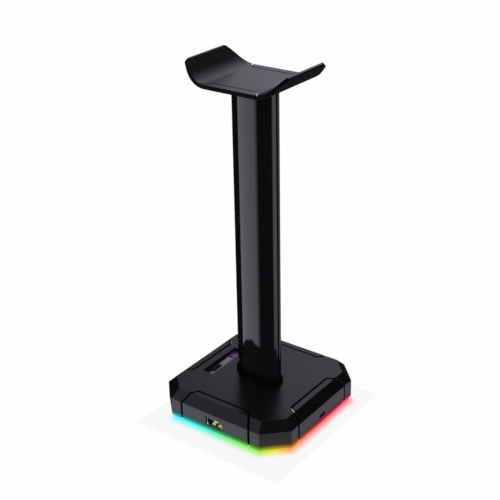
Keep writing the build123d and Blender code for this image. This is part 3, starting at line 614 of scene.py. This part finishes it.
# %% [markdown]
# ## The frosted ring
#
# The ring lights itself. Its own colour is nearly black, because any white in it would add the
# studio's white to the colour and wash it out.

# %% Dress the frosted ring
RING_MILKINESS = 0.12
ring_finish, graph = new_material("frosted_ring")
where = graph.where()
x, y, z = graph.parts(where)
cloudy = graph.noise(where, 0.006, 3.0)
graph.finish(graph.principled(
    Base_Color=(0.01, 0.01, 0.01, 1), Roughness=0.5 + 0.2 * (cloudy - 0.5), IOR=1.2,
    Emission_Color=graph.blend(cloudy * RING_MILKINESS, ring_colour(graph, x, y), FULL_WHITE),
    Emission_Strength=1.0))
dress(ring_finish, "light_guide_ring")
print("ring milkiness", RING_MILKINESS)

# %% [markdown]
# ## The window and its light bars
#
# A dark acrylic sheet lies at the bottom of the slot, and its side next to the column is lit. The
# lit band narrows behind the front end, widens in the middle and narrows again, and its light
# turns from grey to lilac on the way to the back. The rest of the sheet turns from black to
# violet, and dark again at the far end.
#
# Five slanted bars lie on the sheet. They are dark at the front, grey in the middle and violet at
# the back, where they sparkle. Lamps below the sheet would do this too, but a thin slot lit by
# real lamps takes many samples to come out clean. So the sheet and the bars give off the light.

# %% Dress the window and its bars
BAND_NARROWS = -0.0168, -0.0150             # stretches along the slot, front to back
BAND_WIDENS = -0.0062, -0.0030
HAZE_STARTS = 0.0020, 0.0080
LILAC_STARTS = 0.0060, 0.0100
BAND_NARROWS_AGAIN = 0.0070, 0.0095
HAZE_DARKENS = 0.0150, 0.0190
BARS_LIGHT_UP, BARS_TURN_VIOLET = (-0.0060, -0.0035), (0.0070, 0.0090)
SPARKS_START, SPARKS_END = (0.0080, 0.0090), (0.0150, 0.0160)
RIM_SHADOW, RIM_SHADOW_SHARE = (0.0034, 0.0044), 0.75
DARK_ACRYLIC, PALE, LILAC, VIOLET, DARK_END = (
    rgb(5, 6, 6), rgb(102, 98, 106), rgb(90, 73, 103), rgb(40, 17, 60), rgb(12, 4, 20))

lens_finish, graph = new_material("tinted_acrylic")
where = graph.where()
x, y, z = graph.parts(where)
across = x - (lens_low.x + lens_high.x) / 2
lit_from = (0.0002 + 0.0019 * y.rise(*BAND_NARROWS) - 0.0037 * y.rise(*BAND_WIDENS)
            + 0.0027 * y.rise(*BAND_NARROWS_AGAIN))
under_rim = across.rise(*RIM_SHADOW) * RIM_SHADOW_SHARE
lit_part = (across - lit_from).rise(-0.0002, 0.0004) * (1 - under_rim)
cloudy = graph.noise(where, 0.004, 3.0)
haze = graph.blend(y.rise(*HAZE_STARTS), DARK_ACRYLIC, VIOLET)
haze = graph.blend(y.rise(*HAZE_DARKENS), haze, DARK_END)
lit_colour = graph.blend(y.rise(*LILAC_STARTS), PALE, LILAC)
graph.finish(graph.principled(
    Base_Color=(0.001, 0.001, 0.001, 1), Roughness=0.08 + 0.04 * (cloudy - 0.5), IOR=1.12,
    Emission_Color=graph.blend(lit_part * (0.9 + 0.5 * (cloudy - 0.5)), haze, lit_colour),
    Emission_Strength=1.0))
dress(lens_finish, "window_lens")

bar_finish, graph = new_material("violet_bars")
where = graph.where()
x, y, z = graph.parts(where)
cloudy = graph.noise(where, 0.0015, 2.0)
bar_glow = graph.blend(y.rise(*BARS_LIGHT_UP), rgb(8, 5, 10), rgb(106, 98, 112))
bar_glow = graph.blend(y.rise(*BARS_TURN_VIOLET), bar_glow, rgb(42, 19, 64))
spark = cloudy.rise(0.50, 0.58) * y.rise(*SPARKS_START) * (1 - y.rise(*SPARKS_END))
graph.finish(graph.principled(
    Base_Color=(0.002, 0.002, 0.002, 1), Roughness=0.35 + 0.2 * (cloudy - 0.5), IOR=1.12,
    Emission_Color=graph.blend(spark, bar_glow, rgb(118, 92, 132)), Emission_Strength=1.0))
dress(bar_finish, "window_light_bars")
print("window from", round(lens_low.y, 4), "to", round(lens_high.y, 4))

# %% [markdown]
# ## Plain metals and plastics
#
# Metal needs a colour, a roughness that varies and a fine bump, which turns into brush lines when
# it is stretched. Many parts need nothing more than that or the recipe for mouldings, so two
# tables hold them.

# %% Dress the plain parts
BRUSH_SIZE, BRUSH_DEPTH, SPOT_SIZE = 0.0006, 0.000008, 0.005


def metal(name, colour, roughness, stretch=(1, 1, 1), worn=0.15):
    """Bare or plated metal, with brush lines where the pattern is stretched, and dull spots."""
    material, graph = new_material(name)
    where = graph.where()
    brushed = graph.node("ShaderNodeMapping", values={"Vector": where, "Scale": stretch})
    spots = graph.noise(where, SPOT_SIZE, 3.0)
    graph.finish(graph.principled(
        Base_Color=graph.blend(spots, *shades(colour, 1 - worn, 1)), Metallic=1.0,
        Roughness=roughness + 0.15 * (spots - 0.5),
        Normal=graph.bump(graph.noise(brushed, BRUSH_SIZE), BRUSH_DEPTH)))
    return material


def plastic(name, *recipe):
    """A whole material of moulded plastic."""
    material, graph = new_material(name)
    graph.finish(moulding(graph, graph.where(), *recipe))
    return material


METALS = [      # name, colour, roughness, stretch and wear, then the nodes
    (("zinc_screws", (0.30, 0.30, 0.31), 0.32),
     ("cover_screws", "board_screws", "column_foot_screws", "saddle_screws")),
    (("rolled_steel", (0.20, 0.19, 0.18), 0.45, (1, 12, 1), 0.4), ("ballast_plate",)),
    (("black_oxide", (0.02, 0.02, 0.022), 0.4, (6, 1, 1), 0.3), ("column_foot_plate",)),
    (("gold_contacts", (0.75, 0.55, 0.18), 0.25), ("usb_contacts_front", "usb_contacts_back")),
    (("capacitor_cans", (0.45, 0.46, 0.48), 0.3, (1, 1, 20)), ("board_capacitors",)),
    (("inlet_steel", (0.05, 0.04, 0.045), 0.4), ("inlet_shell",)),
]
PLASTICS = [    # name, colour, roughness, unevenness, grain and its depth, then the node
    ("chip_epoxy", (0.012, 0.012, 0.013), 0.55, 0.1, 0.0002, 0.000006, "hub_chip"),
    ("cover_plastic", (0.006, 0.006, 0.0065), 0.5, 0.12, 0.0005, 0.00003, "bottom_cover"),
    ("button_plastic", (0.012, 0.012, 0.013), 0.42, 0.08, 0.0003, 0.000006, "mode_button"),
    ("switch_body", (0.03, 0.03, 0.032), 0.45, 0.1, 0.0003, 0.000006, "mode_switch"),
    ("inlet_tongue_black", (0.004, 0.004, 0.004), 0.5, 0.1, 0.0002, 0.000004, "inlet_tongue"),
]
for recipe, names in METALS:
    dress(metal(*recipe), *names)
for *recipe, name in PLASTICS:
    dress(plastic(*recipe), name)
print("plain finishes:", len(METALS) + len(PLASTICS))

# %% [markdown]
# ## The ports
#
# A plated shell goes round a coloured tongue. The shell is dull and painted dark, as painted shade,
# with a painted highlight on one lower corner and painted olive light at one end. The tongue's
# colour is painted light and shade: it runs from dark green over a bright patch and an olive one to
# a bright end. These patches go by the place in the port, with a Color Ramp on the tongue, because
# a port is too narrow for the room's soft boxes to light it in a way that shows what is inside.

# %% Dress the ports
LEFT_END, LOW_EDGE = (-0.0066, -0.0052), (0.0088, 0.0100)
RIGHT_END, LOW_HALF = (0.0052, 0.0062), (0.0112, 0.0124)
shell_metal, graph = new_material("usb_shell_steel")
where = graph.where()
x, y, z = graph.parts(where)
spots = graph.noise(where, 0.003, 3.0)
# Painted highlight on the shell's lower corner, and painted olive light at its right end.
painted_corner_highlight = (1 - x.rise(*LEFT_END)) * (1 - z.rise(*LOW_EDGE))
painted_end_light = x.rise(*RIGHT_END) * (1 - z.rise(*LOW_HALF))
shell_painted_shade = graph.blend(spots, (0.05, 0.05, 0.05), (0.17, 0.17, 0.17))
shell_painted_shade = graph.blend(painted_corner_highlight, shell_painted_shade, (0.52, 0.60, 0.55))
shell_painted_shade = graph.blend(painted_end_light, shell_painted_shade, (0.22, 0.22, 0.08))
graph.finish(graph.principled(
    Base_Color=shell_painted_shade, Metallic=1.0, Roughness=0.3 + 0.15 * (spots - 0.5)))
dress(shell_metal, "usb_shell_front", "usb_shell_back")

TONGUE_WIDTH = 0.0132
# Painted light and shade across the tongue, from dark green to bright patches.
TONGUE_PAINTED_LIGHT = [
    (0.0, (0.002, 0.016, 0.008)), (0.34, (0.004, 0.022, 0.006)), (0.46, (0.46, 0.56, 0.24)),
    (0.64, (0.40, 0.46, 0.14)), (0.72, (0.025, 0.026, 0.001)), (0.86, (0.022, 0.022, 0.001)),
    (0.95, (0.5, 0.52, 0.2)), (1.0, (0.45, 0.45, 0.12)),
]
tongue_finish, graph = new_material("usb_tongue_green")
where = graph.where()
x, y, z = graph.parts(where)
cloudy = graph.noise(where, 0.0012, 2.0)
place = x / TONGUE_WIDTH + 0.5 + 0.10 * (cloudy - 0.5)
painted_light_patches = graph.node("ShaderNodeValToRGB", {"stops": TONGUE_PAINTED_LIGHT}, {"Fac": place}, "Color")
graph.finish(graph.principled(
    Base_Color=painted_light_patches, Roughness=0.5 + 0.2 * (cloudy - 0.5), IOR=1.2))
dress(tongue_finish, "usb_tongue_front", "usb_tongue_back")
print("two ports dressed")

# %% [markdown]
# ## The rubber feet
#
# Rings are moulded into each foot, to hold it still on a desk. They are too shallow to need real
# grooves, so a Bump node draws them, and the pattern goes by the distance from the foot's middle.
# The feet stand at the same place in each corner, so one sum with the sizes of x and y serves all
# four.

# %% Dress the feet
RING_SPACING = 0.0013
foot_low, foot_high = corners_of("rubber_foot_front_right")
foot_place = (foot_low.x + foot_high.x) / 2
rubber, graph = new_material("foot_rubber")
where = graph.where()
x, y, z = graph.parts(where)
from_middle_x, from_middle_y = abs(x) - foot_place, abs(y) - foot_place
radius = (from_middle_x * from_middle_x + from_middle_y * from_middle_y).to_power(0.5)
rings = (radius * (2 * pi / RING_SPACING)).sine()
dust = graph.noise(where, 0.002, 4.0)
graph.finish(graph.principled(
    Base_Color=graph.blend(dust, (0.008, 0.008, 0.008), (0.022, 0.021, 0.020)),
    Roughness=0.75 + 0.2 * (dust - 0.5), Normal=graph.bump(rings, 0.0001)))
dress(rubber, "rubber_foot_front_left", "rubber_foot_front_right", "rubber_foot_back_left",
      "rubber_foot_back_right")
print("feet at", round(foot_place, 4), "from the middle")

# %% [markdown]
# ## The circuit board and its lights
#
# Copper tracks show through the board's green mask. A Voronoi texture that measures distance in
# squares gives lines that run straight and turn corners as tracks do, with no picture to paint.
# The light modules are white packages that glow in the ring's colour at their place.

# %% Dress the board and the light modules
CELLS_PER_METRE, TRACK_EDGE = 260.0, (0.04, 0.09)
board_finish, graph = new_material("green_board")
where = graph.where()
tracks = graph.node("ShaderNodeTexVoronoi", {"feature": "DISTANCE_TO_EDGE", "distance": "CHEBYCHEV"},
                    {"Vector": where, "Scale": CELLS_PER_METRE}, "Distance")
on_track = 1 - tracks.rise(*TRACK_EDGE)
mask = graph.noise(where, 0.01, 3.0)
graph.finish(graph.principled(
    Base_Color=graph.blend(on_track, (0.006, 0.045, 0.018), (0.02, 0.11, 0.035)),
    Roughness=0.35 + 0.1 * (mask - 0.5), Normal=graph.bump(on_track, 0.00003)))
dress(board_finish, "main_board")

module_finish, graph = new_material("light_module")
where = graph.where()
x, y, z = graph.parts(where)
cloudy = graph.noise(where, 0.001, 2.0)
graph.finish(graph.principled(
    Base_Color=graph.blend(cloudy, (0.7, 0.7, 0.66), (0.85, 0.85, 0.82)),
    Roughness=0.4 + 0.1 * (cloudy - 0.5), Emission_Strength=1.0,
    Emission_Color=graph.blend(0.5, NO_LIGHT, ring_colour(graph, x, y))))
dress(module_finish, "light_modules")
print("finishes:", len(bpy.data.materials))

# %% [markdown]
# ## Small pieces that repeat
#
# Spring fingers in the ports and finger ribs on the button are one shape each, set down several
# times. Geometry Nodes do that: a cloud of points says where and how turned, the tree makes the
# shape from named sizes, puts it on every point, and turns the copies into real mesh.
# `new_from_object` then keeps the result as a plain mesh.

# %% Put one shape on many points
class ShapeTree:
    """A Geometry Nodes tree under construction, with named sizes as inputs."""

    def __init__(self, name, sizes):
        self.group = bpy.data.node_groups.new(name, "GeometryNodeTree")
        add_socket = self.group.interface.new_socket
        add_socket("Points", in_out="INPUT", socket_type="NodeSocketGeometry")
        add_socket("Mesh", in_out="OUTPUT", socket_type="NodeSocketGeometry")
        for size in sizes:
            add_socket(size, in_out="INPUT", socket_type="NodeSocketFloat")
        self.inputs = self.group.nodes.new("NodeGroupInput").outputs

    def node(self, kind, settings=None, values=None, output=0):
        """Adds a node, sets its settings, then fills its sockets with numbers or links."""
        new = self.group.nodes.new(kind)
        for name, setting in (settings or {}).items():
            setattr(new, name, setting)
        for name, value in (values or {}).items():
            if isinstance(value, bpy.types.NodeSocket):
                self.group.links.new(value, new.inputs[name])
            else:
                new.inputs[name].default_value = value
        return new.outputs[output]

    def maths(self, operation, *values):
        """The result of a Math node."""
        return self.node("ShaderNodeMath", {"operation": operation}, dict(enumerate(values)))

    def vector(self, *values):
        """Three numbers as one vector."""
        return self.node("ShaderNodeCombineXYZ", values=dict(enumerate(values)))


def repeat_shape(name, places, sizes, make_shape, material, body):
    """Sets a shape down at (point, turn) places, as one plain mesh that rides on a body."""
    cloud = bpy.data.meshes.new(name)
    cloud.from_pydata([place for place, turned in places], [], [])
    turns = cloud.attributes.new("turned", "FLOAT_VECTOR", "POINT")
    for entry, (place, turned) in zip(turns.data, places):
        entry.vector = turned

    tree = ShapeTree(name, sizes)
    named = tree.node("GeometryNodeInputNamedAttribute", {"data_type": "FLOAT_VECTOR"},
                      {"Name": "turned"})
    copies = tree.node("GeometryNodeInstanceOnPoints", values={
        "Points": tree.inputs["Points"], "Instance": make_shape(tree),
        "Rotation": tree.node("FunctionNodeEulerToRotation", values={0: named})})
    real = tree.node("GeometryNodeRealizeInstances", values={0: copies})
    dressed = tree.node("GeometryNodeSetMaterial", values={0: real, "Material": material})
    tree.group.links.new(dressed, tree.group.nodes.new("NodeGroupOutput").inputs[0])

    scaffold = bpy.data.objects.new(name + "_points", cloud)
    bpy.context.scene.collection.objects.link(scaffold)
    modifier = scaffold.modifiers.new("repeat", "NODES")
    modifier.node_group = tree.group
    for socket in tree.group.interface.items_tree:
        if socket.in_out == "INPUT" and socket.name in sizes:
            modifier[socket.identifier] = sizes[socket.name]
    evaluated = scaffold.evaluated_get(bpy.context.evaluated_depsgraph_get())
    piece = bpy.data.objects.new(name, bpy.data.meshes.new_from_object(evaluated))
    bpy.data.objects.remove(scaffold)
    bpy.context.scene.collection.objects.link(piece)
    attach(piece, body)
    print(name, "faces:", len(piece.data.polygons))
    return piece


print("a shape's tree has:", [name for name in vars(ShapeTree) if name[0] != "_"])

# %% [markdown]
# ### Spring fingers
#
# Inside a port, thin sprung leaves grip the plug. Two bow up from its floor and two hang from its
# roof. A thin box, cut into slices, becomes such a leaf when its points are lifted by a parabola
# along its length.
#
# The back port is the front one turned half round, so one loop places both. The leaves give off a
# little light of their own, the lower ones more, to stand for light that gets into the port.

# %% Spring fingers in the ports
def spring_finger(tree):
    """A thin leaf that bows up in the middle."""
    width, length, thickness, bow = (
        tree.inputs[name] for name in ("Width", "Length", "Thickness", "Bow"))
    leaf = tree.node("GeometryNodeMeshCube", values={
        "Size": tree.vector(width, length, thickness), "Vertices X": 3, "Vertices Y": 13})
    position = tree.node("GeometryNodeInputPosition")
    along = tree.node("ShaderNodeSeparateXYZ", values={0: position}, output=1)
    part = tree.maths("DIVIDE", along, tree.maths("MULTIPLY", length, 0.5))
    drop = tree.maths("SUBTRACT", 1.0, tree.maths("MULTIPLY", part, part))
    lift = tree.vector(0.0, 0.0, tree.maths("MULTIPLY", bow, drop))
    return tree.node("GeometryNodeSetPosition", values={0: leaf, "Offset": lift})


PORT_MIDDLE_HEIGHT = 0.0093, 0.0103
spring_steel, graph = new_material("spring_steel")
where = graph.where()
x, y, z = graph.parts(where)
spots = graph.noise(where, 0.0010, 2.0)
low_glow = graph.blend(spots.rise(0.44, 0.54), (0.06, 0.075, 0.006), (0.46, 0.56, 0.26))
graph.finish(graph.principled(
    Base_Color=graph.blend(spots, (0.42, 0.48, 0.20), (0.70, 0.74, 0.44)), Metallic=1.0,
    Roughness=0.35 + 0.15 * (spots - 0.5), Emission_Strength=1.0,
    Emission_Color=graph.blend(z.rise(*PORT_MIDDLE_HEIGHT), low_glow, (0.045, 0.05, 0.008))))

FINGER_SIZES = {"Width": 0.0027, "Length": 0.0058, "Bow": 0.0012, "Thickness": 0.0002}
FINGER_PLACES = -0.0019, 0.0038             # across the port
BEHIND_MOUTH, FROM_SHELL = 0.0038, 0.0009
fingers = []
for port, inward in (("usb_shell_front", 1), ("usb_shell_back", -1)):
    port_low, port_high = corners_of(port)
    mouth = port_low.y if inward > 0 else port_high.y
    middle_y = mouth + inward * BEHIND_MOUTH
    for across in FINGER_PLACES:
        fingers.append(((inward * across, middle_y, port_low.z + FROM_SHELL), (0, 0, 0)))
        fingers.append(((-inward * across, middle_y, port_high.z - FROM_SHELL), (0, pi, 0)))
repeat_shape("port_springs", fingers, FINGER_SIZES, spring_finger, spring_steel, "stand")

# %% [markdown]
# ### Grip ribs
#
# Three low ribs across the button help a fingertip to find it. Each is a small ball drawn out
# sideways and sunk more than halfway in, so it has no sharp edge. They ride on the button's own
# body.

# %% Finger ribs on the mode button
def finger_rib(tree):
    """A long, low rounded rib."""
    ball = tree.node("GeometryNodeMeshUVSphere", values={
        "Segments": 14, "Rings": 9, "Radius": tree.inputs["Radius"]})
    size = tree.vector(1.0, tree.inputs["Stretch"], 1.0)
    return tree.node("GeometryNodeTransform", values={0: ball, "Scale": size})


RIB_SPACING, RIB_SUNK = 0.0011, 0.00005
RIB_SIZES = {"Radius": 0.00022, "Stretch": 6.5}
button_low, button_high = corners_of("mode_button")
button_middle = (button_low.z + button_high.z) / 2
ribs = [((button_low.x + RIB_SUNK, 0, button_middle + step * RIB_SPACING), (0, 0, 0))
        for step in (-1, 0, 1)]
repeat_shape("button_ribs", ribs, RIB_SIZES, finger_rib, bpy.data.materials["button_plastic"],
             "button")

# %% [markdown]
# ## Painted glints at the ends of the grooves
#
# Where a groove ends on a slant, its chamfer catches the light as a short white glint, and here
# that glint is painted: each is a thin wedge of pale grey, glossy plastic along the groove's end, a
# little below the surface: one on the saddle's front strip, one on the right panel and one on the
# left panel. No two of them are alike, so their corners are worked out one by one and made into a
# single mesh.

# %% Lay the wedges of painted glint
WEDGE_WIDTH = 0.0007
WEDGE_DEPTHS = 0.00008, 0.0004, 0.00048     # of its near, far and bottom edges, below the surface
WEDGE_FACES = [(0, 3, 4, 1), (1, 4, 5, 2), (2, 5, 3, 0), (0, 1, 2), (3, 5, 4)]


def chamfer_wedge(start, end):
    """Corners of a narrow wedge from start to end, whose upper face tilts down to one side."""
    side = Vector((0, 0, 1)).cross(Vector(end) - Vector(start)).normalized() * WEDGE_WIDTH
    near, far, bottom = (Vector((0, 0, -depth)) for depth in WEDGE_DEPTHS)
    return [Vector(place) + shift for place in (start, end) for shift in (near, side + far, bottom)]


# A panel's inner edge, and half of the panel's width there and where the bevel starts
PANEL_INNER, PANEL_HALF_IN, PANEL_HALF_EDGE = BASE_HALF - 0.0121, 0.0241, 0.0276
strip_low, strip_high = corners_of("saddle_strip_front")
groove_ends = [     # from (x, y) to (x, y), and the surface's height
    ((strip_high.x - 0.0040, strip_high.y), (strip_high.x - 0.0001, strip_low.y + 0.0002), PAD_FACE),
    ((PANEL_INNER + 0.0012, -PANEL_HALF_IN - 0.0014),
     (PANEL_INNER + 0.0052, -PANEL_HALF_EDGE - 0.0008), BASE_TOP),
    ((-PANEL_INNER + 0.0004, PANEL_HALF_IN + 0.0010),
     (-PANEL_INNER - 0.0026, PANEL_HALF_EDGE - 0.0002), BASE_TOP),
]
points, faces = [], []
for start, end, level in groove_ends:
    faces += [tuple(len(points) + corner for corner in face) for face in WEDGE_FACES]
    points += chamfer_wedge((*start, level), (*end, level))
# Painted highlight: pale grey with a real gloss, standing for the chamfer's glint.
glint_paint, graph = new_material("painted_glint_chamfer")
cloudy = graph.noise(graph.where(), 0.0012, 2.0)
graph.finish(graph.principled(
    Base_Color=graph.blend(cloudy, (0.30, 0.30, 0.32), (0.58, 0.57, 0.60)),
    Roughness=0.2 + 0.2 * (cloudy - 0.5)))
glints = add_mesh("groove_glints", points, faces, glint_paint)
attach(glints, "stand")
print("polished wedges:", len(groove_ends))

# %% [markdown]
# ## Finish
#
